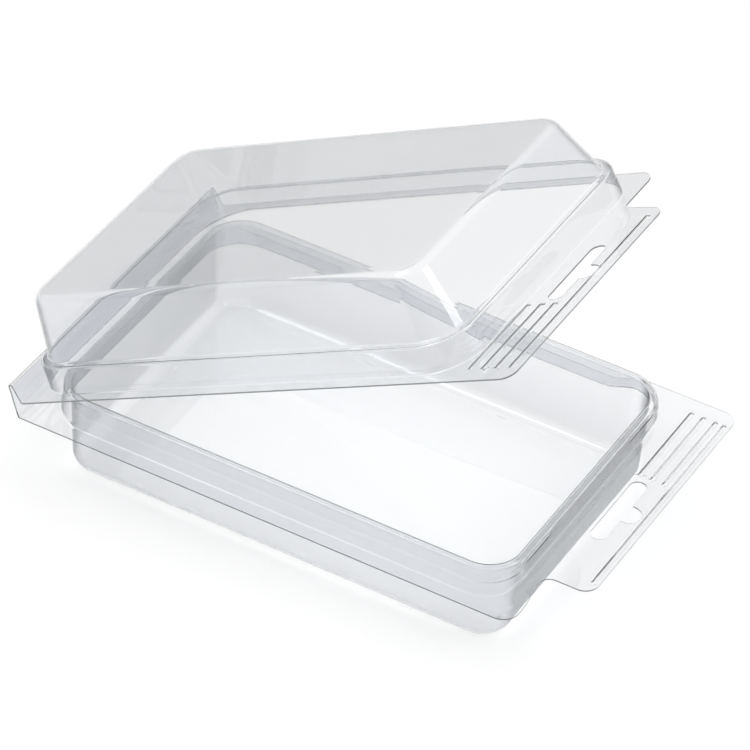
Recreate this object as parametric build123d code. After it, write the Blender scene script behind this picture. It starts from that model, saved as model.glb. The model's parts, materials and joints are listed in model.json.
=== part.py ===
from build123d import *
import os

os.makedirs("parts", exist_ok=True)

# A hinged clear pack, thermoformed from one sheet of PET and cut to its outline.
# The tray and the domed lid are one piece of sheet, joined along a folded bead at the left end.
# The origin is the centre of the tray's flat bottom. X runs from the hinge to the hang tabs, Z is up.

# Driving dimensions, in millimetres and degrees.
sheet = 0.5                 # thickness of the sheet
flange_length = 178.4       # from the hinge fold to the flange's right edge
flange_depth = 124.0        # across the flange, front to back
tab_reach = 16.2            # how far the hang tabs stand out past the flange

tray_height = 22.0          # from the bottom up to the tray's flange
rim_left_inset = 6.2        # the rim wall's foot, in from the flange's left edge
rim_right_inset = 5.0
rim_side_inset = 5.3
rim_corner = 14.5           # plan radius of the rim wall's foot
rim_height = 10.6
rim_draft = 0.7             # how far the rim wall leans in
rim_width = 2.7             # flat top of the rim
cup_draft = 1.2             # how far the tray's walls lean in, down to the floor
rim_edge_radius = 1.2
floor_edge_radius = 5.0
tab_rise = 3.5              # how far the tray's tab stands above its flange
side_ramp_start = 8.0       # the ramp beside the right wall, from the front edge
side_ramp_end = 20.0
back_ramp_start = 30.0      # the ramp behind the back wall, from the right edge
back_ramp_end = 18.0

tab_clearance = 0.4         # closed lid's flange above the ribs of the tray's tab
skirt_clearance = 0.4       # lid's skirt outside the foot of the tray's rim
rim_headroom = 3.2          # under the closed lid's shoulder, above the rim
skirt_draft = 0.5
shoulder_width = 2.9
shoulder_radius = 1.0
dome_height = 29.9          # lid flange up to the flat top
dome_left_lean = 0.7        # how far the dome's walls lean in, from foot to flat top
dome_right_lean = 7.8
dome_side_lean = 6.2
dome_corner = 8.5
dome_edge_radius = 3.2

hinge_clearance = 0.3       # from the fold's axis to each half's end
bead_height = 6.9           # hinge bead above the lid's flange
bead_foot = 4.1             # bead's inner leg, from the flange's left edge
bead_top_start = 1.7
bead_top_end = 3.3
rest_opening = 27.3         # the lid stands open by this much

cut_corner = 6.0            # corners of the cut outline
tab_corner = 5.0
neck_radius = 4.0
tray_notch = 22.0           # finger notch beside the tray's tab, from the front edge
lid_notch = 22.5            # finger notch beside the lid's tab, from the back edge
notch_slant = 1.5

hole_length = 32.0          # round-ended hanging slot with a hump for the peg
hole_width = 5.6
hump_radius = 4.2
hole_from_edge = 11.3       # slot's centre line, in from the tab's outer edge
hump_offset = 3.5

rib_width = 1.6
rib_height = 0.6
rib_length = 37.0
rib_end_gap = 6.5           # from the tab's end to the ribs
rib_count = 3
tray_rib_pitch = 4.3
tray_first_rib = 13.6       # first short rib and long rib, in from the tab's outer edge
tray_edge_rib = 2.0
lid_rib_pitch = 4.9
lid_first_rib = 18.4
lid_edge_rib = 3.4

snap_length = 15.5          # snap beads on the rim's right wall
snap_from_corner = 0.45     # gap between a bead's end and the rim's round corner
snap_proud = 0.35
snap_radius = 1.2
snap_drop = 3.0             # beads' middle, below the rim's top
pad_drop = 2.1              # snap pads round the rim's right corners: their top, below the rim's top
pad_height = 3.6
pad_start = 10.0            # where a pad lies in its corner's quarter turn
pad_end = 72.0

left = -flange_length / 2
right = flange_length / 2
front = -flange_depth / 2
back = flange_depth / 2
tab_edge = right + tab_reach
flange_top = tray_height
rim_top = flange_top + rim_height
lid_flange_top = flange_top + tab_rise + rib_height + tab_clearance + sheet
shoulder_top = rim_top + rim_headroom + sheet
dome_top = lid_flange_top + dome_height
beyond = tab_edge + sheet


def inside(sizes, by):
    """The same rounded rectangle, smaller all round."""
    left_inset, right_inset, side_inset, corner = sizes
    return (left_inset + by, right_inset + by, side_inset + by, corner - by)


def plan(sizes, z):
    """A rounded rectangle at height z, set in from the flange's edges."""
    left_inset, right_inset, side_inset, corner = sizes
    length = flange_length - left_inset - right_inset
    depth = flange_depth - 2 * side_inset
    return Pos((left_inset - right_inset) / 2, 0, z) * RectangleRounded(length, depth, corner)


def drawn(foot, foot_z, top, top_z):
    """A drawn block with leaning walls, from its foot up to its top."""
    return Part(loft([plan(foot, foot_z), plan(top, top_z)], ruled=True).wrapped)


def edges_at(shape, z):
    """The ring of edges that lies flat at height z."""
    return shape.edges().filter_by_position(Axis.Z, z - 0.01, z + 0.01)


def along_y(points, start, end):
    """A profile in X and Z, given as points, made solid from start to end along Y."""
    profile = Plane.XZ * make_face(Polyline(*points, close=True))
    return Pos(0, end, 0) * extrude(profile, end - start)


def along_x(points, start, end):
    """A profile in Y and Z, given as points, made solid from start to end along X."""
    profile = Plane.YZ * make_face(Polyline(*points, close=True))
    return Pos(start, 0, 0) * extrude(profile, end - start)


def cut_outline(points, radii, top):
    """The pack's cut outline, as a tall block that ends at height top."""
    face = make_face(FilletPolyline(*points, radius=radii, close=True))
    return extrude(face, top)


def hanging_hole(top):
    """Round-ended slot across the tab, with a hump on its outer side."""
    slot = Rot(0, 0, 90) * SlotOverall(hole_length, hole_width)
    hump = Pos(hump_offset, 0) * Circle(hump_radius)
    return Pos(tab_edge - hole_from_edge, 0) * extrude(slot + hump, top)


def ribs(tab_top, short_start, first_rib, pitch, edge_rib, edge_start, edge_end):
    """Pressed ribs on a tab: a few short ones at its end and a long one by its outer edge.

    Returns the ridges that stand on the sheet and the grooves beneath them.
    """
    middle = short_start + rib_length / 2
    places = [(tab_edge - first_rib + i * pitch, middle, rib_length) for i in range(rib_count)]
    places.append((tab_edge - edge_rib, (edge_start + edge_end) / 2, edge_end - edge_start))
    ridges = []
    grooves = []
    for x, y, length in places:
        upright = Pos(x, y, tab_top) * Rot(0, 0, 90)
        ridges.append(upright * extrude(SlotOverall(length, rib_width), rib_height, taper=20))
        groove = SlotOverall(length - 2 * sheet, rib_width - 2 * sheet)
        grooves.append(upright * Pos(0, 0, -sheet) * extrude(groove, rib_height))
    return ridges, grooves


# The tray. Its upper skin and its under side are drawn as two solids, a sheet's thickness apart.
rim_foot_plan = (rim_left_inset, rim_right_inset, rim_side_inset, rim_corner)
rim_top_plan = inside(rim_foot_plan, rim_draft)
cup_top_plan = inside(rim_top_plan, rim_width)
cup_floor_plan = inside(cup_top_plan, cup_draft)
tray_end = left + sheet / 2 + hinge_clearance


def tray_ground(drop):
    """Everything under the tray's flange, which climbs to the tab on two ramps."""
    base = -drop
    low = flange_top - drop
    high = low + tab_rise
    wide_front = front - drop
    wide_back = back + drop
    under_rim_x = right - rim_right_inset - rim_corner
    under_rim_y = back - rim_side_inset - rim_corner
    side = [(wide_front, base), (wide_front, low), (front + side_ramp_start, low),
            (front + side_ramp_end, high), (under_rim_y, high), (under_rim_y, base)]
    rear = [(left, base), (left, low), (right - back_ramp_start, low),
            (right - back_ramp_end, high), (beyond, high), (beyond, base)]
    main = [(left, base), (left, low), (under_rim_x, low), (under_rim_x, base)]
    return (along_y(main, wide_front, under_rim_y) + along_x(side, under_rim_x, beyond)
            + along_y(rear, under_rim_y, wide_back))


def tray_rim(drop):
    """The rim that stands on the flange, with its outer edge rounded."""
    rim = drawn(inside(rim_foot_plan, drop), flange_top - drop, inside(rim_top_plan, drop), rim_top - drop)
    return fillet(edges_at(rim, rim_top - drop), rim_edge_radius - drop)


def tray_cup(grow, floor):
    """The tray's hollow, with its floor edge rounded."""
    cup = drawn(inside(cup_floor_plan, -grow), floor, inside(cup_top_plan, -grow), rim_top)
    return fillet(edges_at(cup, floor), floor_edge_radius - sheet + grow)


tray_outline = cut_outline(
    [(tray_end, front), (right, front), (right, front + tray_notch),
     (tab_edge, front + tray_notch), (tab_edge, back), (tray_end, back)],
    [0, cut_corner, neck_radius, tab_corner, tab_corner, 0], rim_top + sheet)
tray_tab_top = flange_top + tab_rise
tray_ridges, tray_grooves = ribs(
    tray_tab_top, back - rib_end_gap - rib_length, tray_first_rib, tray_rib_pitch, tray_edge_rib,
    front + tray_notch + tab_corner, back - rib_end_gap)

wall_lean = rim_draft * (rim_height - snap_drop) / rim_height
bead_x = right - rim_right_inset - wall_lean + snap_proud - snap_radius
beads = []
snap_middle = back - rim_side_inset - rim_corner - snap_from_corner - snap_length / 2
for y in (-snap_middle, snap_middle):
    beads.append(Pos(bead_x, y, rim_top - snap_drop) * Rot(90, 0, 0) * Cylinder(snap_radius, snap_length))

# The snap pads are slices of a slightly larger rim, round its two right corners.
proud_rim = drawn(inside(rim_foot_plan, -snap_proud), flange_top, inside(rim_top_plan, -snap_proud), rim_top)
corner_x = right - rim_right_inset - rim_corner
corner_y = front + rim_side_inset + rim_corner
pad_bottom = rim_top - pad_drop - pad_height
quarter = Rot(0, 0, pad_start - 90) * Cylinder(
    2 * rim_corner, pad_height, pad_end - pad_start, align=(Align.CENTER, Align.CENTER, Align.MIN))
front_pad = proud_rim & Pos(corner_x, corner_y, pad_bottom) * quarter
pads = [front_pad, front_pad.mirror(Plane.XZ)]

upper = tray_ground(0) & tray_outline
upper += tray_rim(0)
upper = upper + tray_ridges + beads + pads
upper -= tray_cup(0, sheet)
under = tray_ground(sheet) + tray_rim(sheet) - tray_cup(sheet, 0)
tray = upper - under - tray_grooves - hanging_hole(rim_top)

# The lid, drawn closed: the flange with the hinge bead at its left end, the skirt and the dome.
skirt_foot_plan = inside(rim_foot_plan, -sheet - skirt_clearance)
skirt_top_plan = inside(skirt_foot_plan, skirt_draft)
dome_foot_plan = inside(skirt_top_plan, shoulder_width)
dome_top_plan = (dome_foot_plan[0] + dome_left_lean, dome_foot_plan[1] + dome_right_lean,
                 dome_foot_plan[2] + dome_side_lean, dome_corner)
fold_x = left + sheet / 2
fold_z = flange_top - sheet / 2
web_end = fold_z + sheet / 2 + hinge_clearance
bead_top = lid_flange_top + bead_height


def lid_ground(drop):
    """Everything under the lid's flange and the hinge bead, whose outer leg runs down to the fold."""
    profile = [(left + drop, web_end), (left + bead_top_start + drop, bead_top - drop),
               (left + bead_top_end - drop, bead_top - drop),
               (left + bead_foot - drop, lid_flange_top - drop),
               (beyond, lid_flange_top - drop), (beyond, web_end)]
    return along_y(profile, front - drop, back + drop)


def lid_skirt(drop):
    """The skirt round the rim, up to its rounded shoulder."""
    skirt = drawn(inside(skirt_foot_plan, drop), lid_flange_top - drop,
                  inside(skirt_top_plan, drop), shoulder_top - drop)
    return fillet(edges_at(skirt, shoulder_top - drop), shoulder_radius - drop)


def lid_dome(drop):
    """The dome with its leaning walls and rounded top edge."""
    dome = drawn(inside(dome_foot_plan, drop), shoulder_top - sheet - drop,
                 inside(dome_top_plan, drop), dome_top - drop)
    return fillet(edges_at(dome, dome_top - drop), dome_edge_radius - drop)


lid_outline = cut_outline(
    [(left, front), (tab_edge, front), (tab_edge, back - lid_notch - notch_slant),
     (right, back - lid_notch), (right, back), (left, back)],
    [0, tab_corner, tab_corner, neck_radius - 1, cut_corner, 0], dome_top + sheet)
lid_ridges, lid_grooves = ribs(
    lid_flange_top, front + rib_end_gap, lid_first_rib, lid_rib_pitch, lid_edge_rib,
    front + rib_end_gap, back - lid_notch - notch_slant - tab_corner)

upper = lid_ground(0) & lid_outline
upper = upper + lid_skirt(0) + lid_dome(0) + lid_ridges
under = lid_ground(sheet) + lid_skirt(sheet) + lid_dome(sheet)
lid = upper - under - lid_grooves - hanging_hole(dome_top)

# The lid stands open, turned up about the fold.
lid = Pos(fold_x, 0, fold_z) * Rot(0, -rest_opening, 0) * Pos(-fold_x, 0, -fold_z) * lid

export_step(tray, "parts/tray.step")
export_step(lid, "parts/lid.step")
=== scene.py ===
import json
import math

import bmesh
import bpy
from mathutils import Matrix, Vector
from mathutils.geometry import delaunay_2d_cdt
from mathutils.kdtree import KDTree


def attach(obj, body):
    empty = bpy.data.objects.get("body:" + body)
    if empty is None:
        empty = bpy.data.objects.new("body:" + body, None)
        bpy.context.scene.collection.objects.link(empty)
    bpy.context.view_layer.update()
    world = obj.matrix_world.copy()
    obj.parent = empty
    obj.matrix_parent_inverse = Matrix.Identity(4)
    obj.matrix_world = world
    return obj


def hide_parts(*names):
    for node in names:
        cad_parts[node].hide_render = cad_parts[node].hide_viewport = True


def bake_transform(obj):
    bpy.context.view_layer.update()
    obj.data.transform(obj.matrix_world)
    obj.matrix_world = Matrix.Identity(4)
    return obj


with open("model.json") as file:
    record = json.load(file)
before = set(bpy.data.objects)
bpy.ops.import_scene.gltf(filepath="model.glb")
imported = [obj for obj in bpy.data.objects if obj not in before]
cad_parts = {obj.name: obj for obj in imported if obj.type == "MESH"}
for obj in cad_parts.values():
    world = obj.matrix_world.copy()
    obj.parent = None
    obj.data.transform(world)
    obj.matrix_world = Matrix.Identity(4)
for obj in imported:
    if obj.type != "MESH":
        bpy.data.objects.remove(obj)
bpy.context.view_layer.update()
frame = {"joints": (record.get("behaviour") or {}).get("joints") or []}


# The sheet: clear PET, extruded half a millimetre thick and thermoformed over a polished mould.
# Its faces are glossy and almost without colour, steep walls get a painted grey shade, darker still
# where they are seen edge-on, and a slow waviness from the stretching of the hot sheet breaks up what is
# seen through it.
MM = 0.001
SHEET = 0.5
PET_FLAT = "#F4F5F6"
# Painted shade: steep walls take this greyer base colour.
PET_WALL_SHADE = "#EDEEF0"
# Painted shade: steep walls seen edge-on take this dark grey base colour.
PET_EDGE_ON_SHADE = "#5A5E62"
PET_SHADOW = "#F9F9F9"
PET_IOR = 1.57
PET_ROUGHNESS = 0.02
EDGE_FROM = 0.38
EDGE_TO = 0.82
WAVE_LENGTH = 22.0
WAVE_HEIGHT = 0.03
# Painted shade: the cut edge's grey base colour stands in for the dim line that light draws along it;
# its roughness is the die's frosting.
CUT_EDGE_SHADE = "#B2B6B9"
CUT_ROUGHNESS = 0.35


def linear(hex_colour):
    """A linear RGBA colour from an sRGB hex value."""
    channels = [int(hex_colour[i:i + 2], 16) / 255 for i in (1, 3, 5)]
    return [c / 12.92 if c <= 0.04045 else ((c + 0.055) / 1.055) ** 2.4 for c in channels] + [1.0]


def add(tree, kind, inputs=None, **settings):
    """A node with its settings, its input values and its links from other sockets."""
    node = tree.nodes.new(kind)
    for name, value in settings.items():
        setattr(node, name, value)
    for name, value in (inputs or {}).items():
        if isinstance(value, bpy.types.NodeSocket):
            tree.links.new(value, node.inputs[name])
        else:
            node.inputs[name].default_value = value
    return node


def thermoformed_pet():
    material = bpy.data.materials.new("clear thermoformed PET")
    material.use_nodes = True
    tree = material.node_tree
    tree.nodes.clear()
    place = add(tree, "ShaderNodeTexCoord").outputs["Object"]
    waves = add(tree, "ShaderNodeTexNoise",
                {"Vector": place, "Scale": 1 / (WAVE_LENGTH * MM), "Detail": 1.0})
    wavy = add(tree, "ShaderNodeBump", {"Height": waves.outputs["Fac"], "Distance": WAVE_HEIGHT * MM,
                                        "Strength": 1.0})
    # Painted shade: the steeper the sheet, the greyer its base colour.
    steep_shade = add(tree, "ShaderNodeAttribute", attribute_name="steep_shade").outputs["Fac"]
    wall_shade_tint = add(tree, "ShaderNodeMix", {0: steep_shade, 6: linear(PET_FLAT), 7: linear(PET_WALL_SHADE)},
               data_type="RGBA")
    # Painted shade: faces seen edge-on turn dark grey, on the steep walls only.
    facing = add(tree, "ShaderNodeLayerWeight", {"Blend": 0.5}).outputs["Facing"]
    edge_on = add(tree, "ShaderNodeMapRange",
                  {"Value": facing, "From Min": EDGE_FROM, "From Max": EDGE_TO},
                  interpolation_type="SMOOTHSTEP")
    edge_on_shade = add(tree, "ShaderNodeMath", {0: edge_on.outputs["Result"], 1: steep_shade}, operation="MULTIPLY")
    tint = add(tree, "ShaderNodeMix", {0: edge_on_shade.outputs[0], 6: wall_shade_tint.outputs[2],
                                       7: linear(PET_EDGE_ON_SHADE)}, data_type="RGBA")
    glossy = add(tree, "ShaderNodeBsdfPrincipled", {
        "Base Color": tint.outputs[2], "Transmission Weight": 1.0, "IOR": PET_IOR,
        "Roughness": PET_ROUGHNESS, "Normal": wavy.outputs["Normal"]})
    passing = add(tree, "ShaderNodeBsdfTransparent", {"Color": linear(PET_SHADOW)})
    lamp_ray = add(tree, "ShaderNodeLightPath").outputs["Is Shadow Ray"]
    both = add(tree, "ShaderNodeMixShader", {0: lamp_ray, 1: glossy.outputs[0], 2: passing.outputs[0]})
    add(tree, "ShaderNodeOutputMaterial", {"Surface": both.outputs[0]})
    return material


def die_cut_pet():
    """The sheet's cut edge: frosted by the die, with a painted grey shade so that it shows as a soft
    grey line.
    """
    material = bpy.data.materials.new("die-cut PET edge")
    material.use_nodes = True
    tree = material.node_tree
    tree.nodes.clear()
    frosted = add(tree, "ShaderNodeBsdfPrincipled", {
        "Base Color": linear(CUT_EDGE_SHADE), "Transmission Weight": 0.5, "IOR": PET_IOR,
        "Roughness": CUT_ROUGHNESS})
    add(tree, "ShaderNodeOutputMaterial", {"Surface": frosted.outputs[0]})
    return material


clear_pet = thermoformed_pet()
cut_pet = die_cut_pet()


# The tray: one deep-drawn half of the sheet. A hollow rim stands on the flange, small pads round its
# right corners and beads on its right wall hold the lid, and a hang tab stands just above the flange.
LENGTH = 178.4
DEPTH = 124.0
TAB_REACH = 16.2
LEFT, RIGHT = -LENGTH / 2, LENGTH / 2
FRONT, BACK = -DEPTH / 2, DEPTH / 2
TAB_EDGE = RIGHT + TAB_REACH
FLANGE_TOP = 22.0
RIM_TOP = FLANGE_TOP + 10.6
RIM_LEFT, RIM_RIGHT, RIM_SIDE = RIM_INSETS = (6.2, 5.0, 5.3)
RIM_CORNER = 14.5
RIM_DRAFT = 0.7
RIM_WIDTH = 2.7
RIM_EDGE = 1.2
CUP_DRAFT = 1.2
CORNER_LEFT = LEFT + RIM_LEFT + RIM_CORNER
CORNER_RIGHT = RIGHT - RIM_RIGHT - RIM_CORNER
CORNER_BACK = BACK - RIM_SIDE - RIM_CORNER
TAB_RISE = 3.5
TAB_CORNER = 5.0
CUT_CORNER = 6.0
TRAY_NOTCH = 22.0
TRAY_END = LEFT + 0.55
HINGE_SIDE = LEFT + 0.6
ARC_STEPS = 8
CORNER_STEPS = 20
LONG_STEPS = 48
END_STEPS = 84
MESH_STEP = 2.5


def smooth(start, end, value):
    """A smooth step from 0 at start to 1 at end."""
    t = min(max((value - start) / (end - start), 0.0), 1.0)
    return t * t * (3 - 2 * t)


def rounded_section(points, radii, arc_steps=ARC_STEPS):
    """A section line through the given points, with its inner corners rounded."""
    line = [Vector(points[0])]
    for before, corner, after, radius in zip(points, points[1:], points[2:], radii):
        corner = Vector(corner)
        back_along = (Vector(before) - corner).normalized()
        on_along = (Vector(after) - corner).normalized()
        half = back_along.angle(on_along) / 2
        reach = radius / math.tan(half)
        middle = corner + (back_along + on_along).normalized() * radius / math.sin(half)
        first = corner + back_along * reach - middle
        turn = first.angle_signed(corner + on_along * reach - middle)
        for i in range(arc_steps + 1):
            line.append(middle + Matrix.Rotation(-turn * i / arc_steps, 2) @ first)
    line.append(Vector(points[-1]))
    return line


def divided(line, longest):
    """The same line with no step longer than longest."""
    result = [line[0]]
    for start, end in zip(line, line[1:]):
        steps = max(1, math.ceil((end - start).length / longest))
        result += [start.lerp(end, i / steps) for i in range(1, steps + 1)]
    return result


def ring(insets, corner):
    """Points round a rounded rectangle set in from the flange's left, right and long edges."""
    x0, x1 = LEFT + insets[0], RIGHT - insets[1]
    y0, y1 = FRONT + insets[2], BACK - insets[2]
    quarters = [(x1 - corner, y1 - corner, 0), (x0 + corner, y1 - corner, 90),
                (x0 + corner, y0 + corner, 180), (x1 - corner, y0 + corner, 270)]
    points = []
    for i, (x, y, start) in enumerate(quarters):
        for step in range(CORNER_STEPS + 1):
            angle = math.radians(start + 90 * step / CORNER_STEPS)
            points.append(Vector((x + corner * math.cos(angle), y + corner * math.sin(angle))))
        next_x, next_y, next_start = quarters[(i + 1) % 4]
        angle = math.radians(next_start)
        goal = Vector((next_x + corner * math.cos(angle), next_y + corner * math.sin(angle)))
        last = points[-1]
        steps = LONG_STEPS if i % 2 == 0 else END_STEPS
        points += [last.lerp(goal, step / steps) for step in range(1, steps)]
    return points


def bridged(bm, rings):
    """Quads between closed rings of points, with the innermost ring, the first one, filled in."""
    rows = [[bm.verts.new(point) for point in points] for points in rings]
    for inner, outer in zip(rows, rows[1:]):
        for i in range(len(inner)):
            j = (i + 1) % len(inner)
            bm.faces.new((inner[i], outer[i], outer[j], inner[j]))
    bm.faces.new(rows[0])


def cut_outline(corners, arc_steps=10):
    """A closed outline through corners given as x, y and radius."""
    loop = []
    count = len(corners)
    for i, (x, y, radius) in enumerate(corners):
        if radius == 0:
            loop.append(Vector((x, y)))
            continue
        before = corners[i - 1][:2]
        after = corners[(i + 1) % count][:2]
        loop += rounded_section([before, (x, y), after], [radius], arc_steps)[1:-1]
    return divided(loop + [loop[0]], MESH_STEP)[:-1]


def hang_hole():
    """The peg hole: a round-ended slot with a half-round hump on its outer side."""
    middle, half_width, half_length, hump, hump_out = TAB_EDGE - 11.3, 2.8, 16.0, 4.2, 3.5
    end = half_length - half_width
    meets = math.acos((half_width - hump_out) / hump)

    def arc(x, y, radius, start, stop, steps):
        turns = [start + (stop - start) * i / steps for i in range(steps + 1)]
        return [Vector((x + radius * math.cos(turn), y + radius * math.sin(turn))) for turn in turns]

    loop = arc(middle, -end, half_width, math.pi, 2 * math.pi, 14)
    loop += arc(middle + hump_out, 0, hump, -meets, meets, 20)
    loop += arc(middle, end, half_width, 0, math.pi, 14)
    return divided(loop + [loop[0]], MESH_STEP)[:-1]


def within(loop, x, y):
    """True where a point lies inside a closed loop."""
    inside = False
    for a, b in zip(loop, loop[1:] + loop[:1]):
        if (a.y > y) != (b.y > y) and x < (b.x - a.x) * (y - a.y) / (b.y - a.y) + a.x:
            inside = not inside
    return inside


RIB_WIDTH = 1.7
RIB_HEIGHT = 0.6
RIB_LENGTH = 37.0
RIB_END_GAP = 6.5
RIB_ACROSS = (-0.85, -0.6, -0.4, -0.2, 0, 0.2, 0.4, 0.6, 0.85)
RIB_END = (0.0, 0.25, 0.5, 0.8, 1.2)
RIB_MIDDLE_STEPS = 24
GRID_STEP = 1.5
GRID_FROM_EDGE = 0.55
GRID_FROM_RIB = 1.3


def tab_ribs(first, pitch, short, edge, long):
    """Where a tab's pressed ribs lie, as x, start and end: three short ones and one along its edge."""
    return [(TAB_EDGE - first + pitch * i, *short) for i in range(3)] + [(TAB_EDGE - edge, *long)]


def flange(bm, inner, outline, height, ribs):
    """The flat sheet between the rim's foot and the cut outline, with the peg hole left open.

    Fine rows of points lie along each rib, and an even grid of points fills the rest.
    """
    hole = hang_hole()

    def on_sheet(x, y):
        return within(outline, x, y) and not within(inner, x, y) and not within(hole, x, y)

    points = []
    edges = []
    for loop in (inner, outline, hole):
        first = len(points)
        points += loop
        edges += [(first + i, first + (i + 1) % len(loop)) for i in range(len(loop))]
    near = KDTree(len(points))
    for i, point in enumerate(points):
        near.insert((point.x, point.y, 0), i)
    near.balance()
    for x, start, end in ribs:
        along = [start + e for e in RIB_END]
        along += [start + (end - start) * i / RIB_MIDDLE_STEPS for i in range(1, RIB_MIDDLE_STEPS)]
        along += [end - e for e in reversed(RIB_END)]
        for dx in RIB_ACROSS:
            first = len(points)
            points += [Vector((x + dx, y)) for y in along]
            edges += [(first + i, first + i + 1) for i in range(len(along) - 1)]
    for i in range(int((TAB_EDGE - LEFT) / GRID_STEP) + 1):
        for j in range(int(DEPTH / GRID_STEP) + 1):
            x, y = LEFT + (i + 0.5) * GRID_STEP, FRONT + (j + 0.5) * GRID_STEP
            by_rib = any(abs(x - rib) <= GRID_FROM_RIB and start - 0.4 < y < end + 0.4
                         for rib, start, end in ribs)
            if not by_rib and near.find((x, y, 0))[2] > GRID_FROM_EDGE and on_sheet(x, y):
                points.append(Vector((x, y)))
    places, _, faces = delaunay_2d_cdt(points, edges, [], 0, 1e-6, False)[:3]
    verts = [bm.verts.new((p.x, p.y, height(p.x, p.y))) for p in places]
    for face in faces:
        middle = sum((places[i] for i in face), Vector((0, 0))) / 3
        if on_sheet(middle.x, middle.y):
            bm.faces.new([verts[i] for i in face])
    bmesh.ops.delete(bm, geom=[v for v in verts if not v.link_faces], context="VERTS")


def rib_press():
    """Geometry nodes that press evenly spaced ribs, which run along Y, up into the sheet."""
    tree = bpy.data.node_groups.new("rib press", "GeometryNodeTree")
    sockets = tree.interface
    sockets.new_socket("Geometry", in_out="INPUT", socket_type="NodeSocketGeometry")
    for name in ("First", "Pitch", "Count", "Width", "Height", "Start", "End"):
        sockets.new_socket(name, in_out="INPUT", socket_type="NodeSocketFloat")
    sockets.new_socket("Material", in_out="INPUT", socket_type="NodeSocketMaterial")
    sockets.new_socket("Geometry", in_out="OUTPUT", socket_type="NodeSocketGeometry")
    given = add(tree, "NodeGroupInput").outputs

    def maths(operation, a, b=0.0, clamp=False):
        return add(tree, "ShaderNodeMath", {0: a, 1: b}, operation=operation, use_clamp=clamp).outputs[0]

    position = add(tree, "GeometryNodeInputPosition").outputs[0]
    place = add(tree, "ShaderNodeSeparateXYZ", {0: position}).outputs
    along = maths("SUBTRACT", place["X"], given["First"])
    nearest = maths("ROUND", maths("DIVIDE", along, given["Pitch"]))
    nearest = maths("MAXIMUM", maths("MINIMUM", nearest, maths("SUBTRACT", given["Count"], 1.0)), 0.0)
    off = maths("ABSOLUTE", maths("SUBTRACT", along, maths("MULTIPLY", nearest, given["Pitch"])))
    half = maths("MULTIPLY", given["Width"], 0.5)
    to_end = maths("MINIMUM", maths("SUBTRACT", place["Y"], given["Start"]),
                   maths("SUBTRACT", given["End"], place["Y"]))
    across = maths("SUBTRACT", 1.0, maths("POWER", maths("DIVIDE", off, half), 2.0), clamp=True)
    round_end = maths("POWER", maths("DIVIDE", to_end, half, clamp=True), 0.5)
    lift = maths("MULTIPLY", maths("MULTIPLY", across, round_end), given["Height"])
    offset = add(tree, "ShaderNodeCombineXYZ", {"Z": lift})
    pressed = add(tree, "GeometryNodeSetPosition",
                  {"Geometry": given["Geometry"], "Offset": offset.outputs[0]})
    real = add(tree, "GeometryNodeRealizeInstances", {"Geometry": pressed.outputs[0]})
    finished = add(tree, "GeometryNodeSetMaterial",
                   {"Geometry": real.outputs[0], "Material": given["Material"]})
    add(tree, "NodeGroupOutput", {"Geometry": finished.outputs[0]})
    return tree


def press_ribs(piece, ribs):
    """Give the flat tab its ribs: the short ones as one row, the long one as a row of one."""
    pitch = ribs[1][0] - ribs[0][0]
    for (x, start, end), count in ((ribs[0], 3), (ribs[-1], 1)):
        modifier = piece.modifiers.new("ribs", "NODES")
        modifier.node_group = pressed_ribs
        sizes = {"First": x, "Pitch": pitch, "Width": RIB_WIDTH, "Height": RIB_HEIGHT,
                 "Start": start, "End": end}
        for item in pressed_ribs.interface.items_tree:
            if item.in_out == "INPUT" and item.name in sizes:
                modifier[item.identifier] = sizes[item.name] * MM
            elif item.in_out == "INPUT" and item.name == "Count":
                modifier[item.identifier] = float(count)
            elif item.in_out == "INPUT" and item.name == "Material":
                modifier[item.identifier] = clear_pet


def plain(piece):
    """Work a piece's modifiers in, so that it is a plain mesh."""
    graph = bpy.context.evaluated_depsgraph_get()
    mesh = bpy.data.meshes.new_from_object(piece.evaluated_get(graph))
    piece.modifiers.clear()
    piece.data = mesh


def new_piece(name, bm):
    """A piece in metres from a surface drawn in millimetres, facing the sheet's upper side."""
    bmesh.ops.remove_doubles(bm, verts=bm.verts, dist=0.002)
    bmesh.ops.recalc_face_normals(bm, faces=bm.faces)
    highest = max(bm.faces, key=lambda f: f.calc_center_median().z)
    if highest.normal.z < 0:
        bmesh.ops.reverse_faces(bm, faces=bm.faces)
    bmesh.ops.scale(bm, vec=(MM, MM, MM), verts=bm.verts)
    mesh = bpy.data.meshes.new(name)
    bm.to_mesh(mesh)
    bm.free()
    piece = bpy.data.objects.new(name, mesh)
    bpy.context.scene.collection.objects.link(piece)
    piece.data.materials.append(clear_pet)
    return piece


# Steepness over which the painted wall shade comes in.
STEEP_SHADE_FROM, STEEP_SHADE_TO = 0.35, 0.95


def thicken(piece):
    """Give the formed surface the sheet's thickness, on its lower side, with crisp cut edges.

    The attribute says how steep each point stands; the sheet's material paints a grey shade on the steep
    walls from it.
    """
    # The steepness drives the painted shade on the walls.
    steep_shade = piece.data.attributes.new("steep_shade", "FLOAT", "POINT")
    steepness = [1 - abs(v.normal.z) for v in piece.data.vertices]
    steep_shade.data.foreach_set("value", [smooth(STEEP_SHADE_FROM, STEEP_SHADE_TO, steep) for steep in steepness])
    wall = piece.modifiers.new("sheet", "SOLIDIFY")
    wall.thickness = SHEET * MM
    wall.offset = -1
    wall.use_even_offset = True
    wall.use_quality_normals = True
    wall.material_offset_rim = 1
    piece.data.materials.append(cut_pet)
    plain(piece)
    for face in piece.data.polygons:
        if face.center.x < HINGE_SIDE * MM:
            face.material_index = 0
    piece.data.polygons.foreach_set("use_smooth", [True] * len(piece.data.polygons))
    piece.data.set_sharp_from_angle(angle=math.radians(50))


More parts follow.
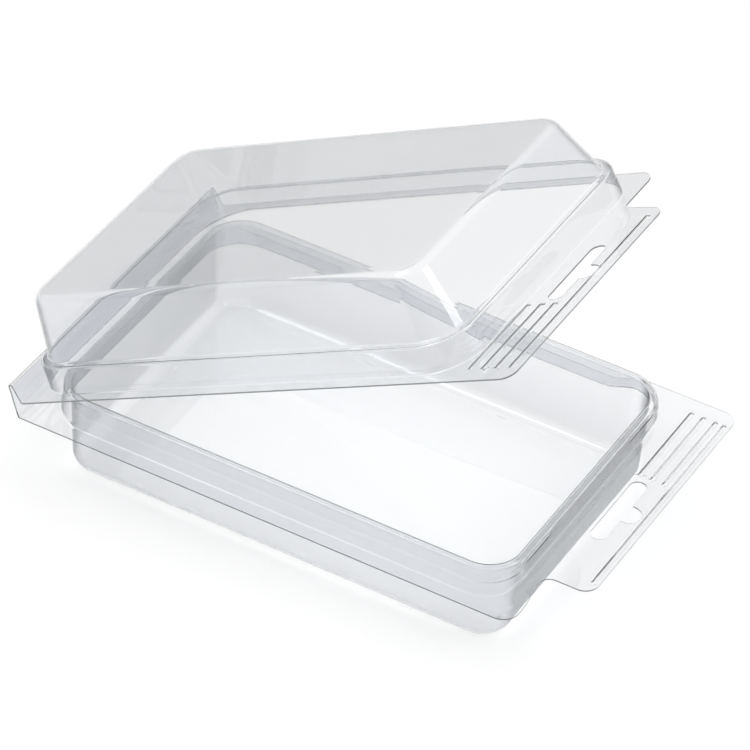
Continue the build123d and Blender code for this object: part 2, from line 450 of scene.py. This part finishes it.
def tray_ground(x, y):
    """Height of the tray's flange, which climbs to the tab beside the right and back walls."""
    climb = smooth(FRONT + 8, FRONT + 20, y) * smooth(RIGHT - 30, RIGHT - 18, x)
    return FLANGE_TOP + TAB_RISE * climb


SNAP_PROUD = 0.35
PAD_TURN = (16, 20, 78, 82)
PAD_DROP = (1.9, 2.5, 5.3, 5.9)
BEAD_WALL = RIGHT - 8.0
BEAD_MIDDLE = 34.0
BEAD_END = (7.0, 8.0)
BEAD_DROP = 3.0
BEAD_HALF_HEIGHT = 0.9


def plateau(steps, value):
    """A smooth rise from 0 to 1 between the first two steps, and a fall between the last two."""
    return smooth(steps[0], steps[1], value) * (1 - smooth(steps[2], steps[3], value))


def snap_bump(x, y, z):
    """How far the rim's wall stands out: pads in degrees round each corner, beads along the wall."""
    below = RIM_TOP - z
    pad = bead = 0.0
    if x > CORNER_RIGHT:
        turn = math.degrees(math.atan2(abs(y) - CORNER_BACK, x - CORNER_RIGHT))
        pad = plateau(PAD_TURN, turn) * plateau(PAD_DROP, below)
    if x > BEAD_WALL:
        off = abs(abs(y) - BEAD_MIDDLE)
        round_face = max(0.0, 1 - ((below - BEAD_DROP) / BEAD_HALF_HEIGHT) ** 2)
        bead = (1 - smooth(*BEAD_END, off)) * round_face
    return SNAP_PROUD * max(pad, bead)


pressed_ribs = rib_press()
wall_top = RIM_DRAFT + RIM_WIDTH
wall_foot = wall_top + CUP_DRAFT
tray_section = divided(rounded_section(
    [(wall_foot + 5.5, SHEET), (wall_foot, SHEET), (wall_top, RIM_TOP), (RIM_DRAFT, RIM_TOP),
     (0.0, FLANGE_TOP), (-1.4, FLANGE_TOP)], [4.5, 1.0, RIM_EDGE, 0.8]), 4.0)
rim_start = max(i for i, p in enumerate(tray_section) if p.y > RIM_TOP - RIM_EDGE - 0.1)
tray_section = tray_section[:rim_start] + divided(tray_section[rim_start:], 0.5)
tray_rings = []
# The floor is crowned a little: each ring's inset from the rim's foot, and its height.
for inset, lift in ((30.0, 0.7), (24.0, 0.55), (18.0, 0.3), (14.0, 0.1)):
    points = ring([i + inset for i in RIM_INSETS], max(RIM_CORNER - inset, 2.0))
    tray_rings.append([(p.x, p.y, SHEET + lift) for p in points])
for number, (inset, z) in enumerate(tray_section):
    points = []
    for x, y in ring([i + inset for i in RIM_INSETS], RIM_CORNER - inset):
        height = z
        if number >= rim_start and z < RIM_TOP - RIM_EDGE:
            out = snap_bump(x, y, z)
            away = Vector((x - max(min(x, CORNER_RIGHT), CORNER_LEFT),
                           y - max(min(y, CORNER_BACK), -CORNER_BACK))).normalized()
            x, y = x + away.x * out, y + away.y * out
            share = min((RIM_TOP - RIM_EDGE - z) / (RIM_TOP - RIM_EDGE - FLANGE_TOP), 1.0)
            height = z + (tray_ground(x, y) - FLANGE_TOP) * share
        points.append((x, y, height))
    tray_rings.append(points)
tray_mesh = bmesh.new()
bridged(tray_mesh, tray_rings)
tray_outline = cut_outline([
    (TRAY_END, FRONT, 0), (RIGHT, FRONT, CUT_CORNER), (RIGHT, FRONT + TRAY_NOTCH, 4.0),
    (TAB_EDGE, FRONT + TRAY_NOTCH, TAB_CORNER), (TAB_EDGE, BACK, TAB_CORNER), (TRAY_END, BACK, 0)])
tray_ribs = tab_ribs(13.6, 4.3, (BACK - RIB_END_GAP - RIB_LENGTH, BACK - RIB_END_GAP),
                     2.0, (FRONT + TRAY_NOTCH + TAB_CORNER, BACK - RIB_END_GAP))
flange(tray_mesh, [Vector(p[:2]) for p in tray_rings[-1]], tray_outline, tray_ground, tray_ribs)
tray = new_piece("tray_sheet", tray_mesh)
press_ribs(tray, tray_ribs)
plain(tray)
thicken(tray)
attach(tray, "tray")
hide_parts("tray")


# The lid: the other half of the same sheet. A skirt and shoulder fit over the tray's rim, the dome
# leans in to a flat top, and a folded bead along the left edge stiffens the hinge.
LID_FLANGE = FLANGE_TOP + 5.0
SHOULDER = LID_FLANGE + 9.3
LID_TOP = LID_FLANGE + 29.9
SKIRT_INSETS = (5.3, 4.1, 4.4)
SKIRT_DRAFT = 0.5
SHOULDER_WIDTH = 2.9
TOP_INSETS = (9.4, 15.3, 14.0)
LID_CORNER_REACH = 19.7
DOME_CORNER = 8.5
LEAST_CORNER = 2.5
LID_NOTCH = 22.5
NOTCH_SLANT = 1.5
BEAD_TOP = LID_FLANGE + 6.9
WEB_END = FLANGE_TOP + 0.3
HINGE = frame["joints"][0]
FOLD = Vector(HINGE["pos_m"]) / MM
OPEN_ANGLE = -HINGE["range_deg"][0]

SKIRT_STRAIGHT = ARC_STEPS + 1
DOME_STRAIGHT = 3 * (ARC_STEPS + 1)
STRAIGHT_STEPS = 5


def with_steps(line):
    """The same section with its skirt and dome wall divided, alike on every side."""
    result = [line[0]]
    for i, (start, end) in enumerate(zip(line, line[1:])):
        steps = STRAIGHT_STEPS if i in (SKIRT_STRAIGHT, DOME_STRAIGHT) else 1
        result += [start.lerp(end, step / steps) for step in range(1, steps + 1)]
    return result


lid_sides = []
for skirt, top in zip(SKIRT_INSETS, TOP_INSETS):
    shoulder = skirt + SKIRT_DRAFT
    lid_sides.append(with_steps(rounded_section(
        [(skirt - 0.5, LID_FLANGE), (skirt, LID_FLANGE), (shoulder, SHOULDER),
         (shoulder + SHOULDER_WIDTH, SHOULDER), (top, LID_TOP), (top + 5, LID_TOP)],
        [0.4, 1.0, 0.8, 3.2])))


def lid_corner(inset):
    """Plan radius of the lid's corners, at the long sides' inset: it shrinks evenly up the dome."""
    foot, top = SKIRT_INSETS[2] + SKIRT_DRAFT + SHOULDER_WIDTH, TOP_INSETS[2]
    if inset <= foot:
        return LID_CORNER_REACH - inset
    if inset <= top:
        foot_radius = LID_CORNER_REACH - foot
        return foot_radius + (DOME_CORNER - foot_radius) * (inset - foot) / (top - foot)
    return max(DOME_CORNER + top - inset, LEAST_CORNER)


def lid_ring(insets, heights):
    """A ring with its own inset and height on the left, right and long sides."""
    corner = lid_corner(insets[2])
    points = ring(insets, corner)
    x0, x1 = LEFT + insets[0] + corner, RIGHT - insets[1] - corner
    result = []
    for p in points:
        out_x = max(x0 - p.x, p.x - x1, 0.0)
        side = 0 if p.x < 0 else 1
        share = math.asin(min(out_x / corner, 1.0)) / (math.pi / 2)
        result.append((p.x, p.y, heights[2] + (heights[side] - heights[2]) * share))
    return result


lid_rings = []
for inset in (24.0, 16.0, 10.0):
    lid_rings.append(lid_ring([i + inset for i in TOP_INSETS], (LID_TOP,) * 3))
for left_point, right_point, long_point in reversed(list(zip(*lid_sides))):
    lid_rings.append(lid_ring((left_point.x, right_point.x, long_point.x),
                              (left_point.y, right_point.y, long_point.y)))
lid_mesh = bmesh.new()
bridged(lid_mesh, lid_rings)

flange_start = LEFT + 4.6
bead_section = divided(rounded_section(
    [(LEFT, WEB_END), (LEFT + 1.7, BEAD_TOP), (LEFT + 3.3, BEAD_TOP), (LEFT + 4.1, LID_FLANGE),
     (flange_start, LID_FLANGE)], [0.75, 0.75, 0.3]), 2.0)
lid_tab_end = BACK - LID_NOTCH - NOTCH_SLANT
lid_outline = cut_outline([
    (flange_start, FRONT, 0), (TAB_EDGE, FRONT, 4.5), (TAB_EDGE, lid_tab_end, TAB_CORNER),
    (RIGHT, BACK - LID_NOTCH, 3.0), (RIGHT, BACK, CUT_CORNER), (flange_start, BACK, 0)])
lid_ribs = tab_ribs(18.4, 4.9, (FRONT + RIB_END_GAP, FRONT + RIB_END_GAP + RIB_LENGTH),
                    3.4, (FRONT + RIB_END_GAP, lid_tab_end - TAB_CORNER))
flange(lid_mesh, [Vector(p[:2]) for p in lid_rings[-1]], lid_outline, lambda x, y: LID_FLANGE, lid_ribs)
edge_places = sorted(p.y for p in lid_outline if abs(p.x - flange_start) < 0.01)
columns = [[lid_mesh.verts.new((x, y, z)) for y in edge_places] for x, z in bead_section]
for near_column, far_column in zip(columns, columns[1:]):
    for i in range(len(edge_places) - 1):
        lid_mesh.faces.new((near_column[i], far_column[i], far_column[i + 1], near_column[i + 1]))
lid = new_piece("lid_sheet", lid_mesh)
press_ribs(lid, lid_ribs)
plain(lid)
opened = (Matrix.Translation(FOLD * MM) @ Matrix.Rotation(math.radians(-OPEN_ANGLE), 4, "Y")
          @ Matrix.Translation(-FOLD * MM))
thicken(lid)
lid.data.transform(opened)
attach(lid, "lid")
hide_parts("lid")


# The hinge: the same creased sheet, as a strip curved between the tray's flange and the lid's web where
# the lid stands open.
HALF = SHEET / 2
FOLD_STEPS = 8
FILM_STEPS = 40
film_start = Vector((TRAY_END, 0, FLANGE_TOP - HALF)) * MM
film_end = opened @ (Vector((LEFT + HALF, 0, WEB_END)) * MM)
fold_line = []
for i in range(FOLD_STEPS + 1):
    t = i / FOLD_STEPS
    fold_line.append(film_start.lerp(FOLD * MM, t).lerp((FOLD * MM).lerp(film_end, t), t))
film_mesh = bmesh.new()
film_rows = []
for i, point in enumerate(fold_line):
    on = fold_line[min(i + 1, FOLD_STEPS)] - fold_line[max(i - 1, 0)]
    up = Vector((on.z, 0, -on.x)).normalized() * HALF * MM
    row = []
    for side in (1, -1):
        x, z = point.x + side * up.x, point.z + side * up.z
        row.append([film_mesh.verts.new((x, (FRONT + DEPTH * j / FILM_STEPS) * MM, z))
                    for j in range(FILM_STEPS + 1)])
    film_rows.append(row)
for row, next_row in zip(film_rows, film_rows[1:]):
    for side in (0, 1):
        near, far = row[side], next_row[side]
        for j in range(FILM_STEPS):
            film_mesh.faces.new((near[j], far[j], far[j + 1], near[j + 1]))
    for j in (0, FILM_STEPS):
        film_mesh.faces.new((row[0][j], row[1][j], next_row[1][j], next_row[0][j]))
for row in (film_rows[0], film_rows[-1]):
    for j in range(FILM_STEPS):
        film_mesh.faces.new((row[0][j], row[0][j + 1], row[1][j + 1], row[1][j]))
bmesh.ops.recalc_face_normals(film_mesh, faces=film_mesh.faces)
film_data = bpy.data.meshes.new("hinge_crease")
film_mesh.to_mesh(film_data)
film_mesh.free()
film = bpy.data.objects.new("hinge_crease", film_data)
bpy.context.scene.collection.objects.link(film)
film.data.materials.append(clear_pet)
film.data.polygons.foreach_set("use_smooth", [True] * len(film.data.polygons))
film.data.set_sharp_from_angle(angle=math.radians(50))
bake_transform(film)


# The floor: plain white board, matt, wide enough to fill the view.
FLOOR_WHITE = "#F7F7F7"
floor_mesh = bmesh.new()
bmesh.ops.create_grid(floor_mesh, x_segments=2, y_segments=2, size=6.0)
floor_data = bpy.data.meshes.new("floor")
floor_mesh.to_mesh(floor_data)
floor_mesh.free()
floor = bpy.data.objects.new("floor", floor_data)
bpy.context.scene.collection.objects.link(floor)
board = bpy.data.materials.new("white board")
board.use_nodes = True
tree = board.node_tree
tree.nodes.clear()
matt = add(tree, "ShaderNodeBsdfDiffuse", {"Color": linear(FLOOR_WHITE)})
add(tree, "ShaderNodeOutputMaterial", {"Surface": matt.outputs[0]})
floor.data.materials.append(board)


# The light: a white studio, bright above and dimmer round the sides, with two large soft boxes.
HORIZON, OVERHEAD = 0.1, 0.95
SOFT_BOXES = (("soft box left", (-0.9, -0.5, 1.3), 0.9, 7.0),
              ("soft box right", (1.2, 0.5, 1.2), 0.8, 6.0))
world = bpy.data.worlds.new("studio")
bpy.context.scene.world = world
world.use_nodes = True
tree = world.node_tree
tree.nodes.clear()
rays = add(tree, "ShaderNodeLightPath").outputs
seen = add(tree, "ShaderNodeMath", {0: rays["Is Camera Ray"], 1: rays["Is Transmission Ray"]},
           operation="MAXIMUM", use_clamp=True)
direction = add(tree, "ShaderNodeTexCoord").outputs["Generated"]
up = add(tree, "ShaderNodeSeparateXYZ", {0: direction}).outputs["Z"]
sky = add(tree, "ShaderNodeMapRange", {"Value": up, "From Min": 0.05, "From Max": 0.7,
                                       "To Min": HORIZON, "To Max": OVERHEAD})
room = add(tree, "ShaderNodeBackground", {"Color": (1, 1, 1, 1), "Strength": sky.outputs["Result"]})
white = add(tree, "ShaderNodeBackground", {"Color": (1, 1, 1, 1), "Strength": 1.0})
mixed = add(tree, "ShaderNodeMixShader", {0: seen.outputs[0], 1: room.outputs[0], 2: white.outputs[0]})
add(tree, "ShaderNodeOutputWorld", {"Surface": mixed.outputs[0]})

for name, place, size, power in SOFT_BOXES:
    lamp = bpy.data.lights.new(name, "AREA")
    lamp.shape = "SQUARE"
    lamp.size = size
    lamp.energy = power
    holder = bpy.data.objects.new(name, lamp)
    holder.location = place
    holder.rotation_euler = Vector(place).to_track_quat("Z", "Y").to_euler()
    bpy.context.scene.collection.objects.link(holder)


# The camera: a long lens, a little right of the front and well above, rolled slightly.
AIM = Vector((10.8, -11.2, 50.0)) * MM
DISTANCE = 1.5764
AZIMUTH, ELEVATION, ROLL = math.radians(27.12), math.radians(39.19), math.radians(4.16)
lens = bpy.data.cameras.new("camera")
lens.lens = 240.7
lens.sensor_width = 36.0
camera = bpy.data.objects.new("camera", lens)
away = Vector((math.sin(AZIMUTH) * math.cos(ELEVATION), -math.cos(AZIMUTH) * math.cos(ELEVATION),
               math.sin(ELEVATION)))
camera.location = AIM + away * DISTANCE
turned = away.to_track_quat("Z", "Y").to_matrix() @ Matrix.Rotation(ROLL, 3, "Z")
camera.rotation_euler = turned.to_euler()
bpy.context.scene.collection.objects.link(camera)
bpy.context.scene.camera = camera

scene = bpy.context.scene
scene.view_settings.view_transform = "Standard"
# The sheet folds over itself at the rim, so light needs many passes to come through.
scene.cycles.max_bounces = 32
scene.cycles.transmission_bounces = 32
scene.cycles.transparent_max_bounces = 32
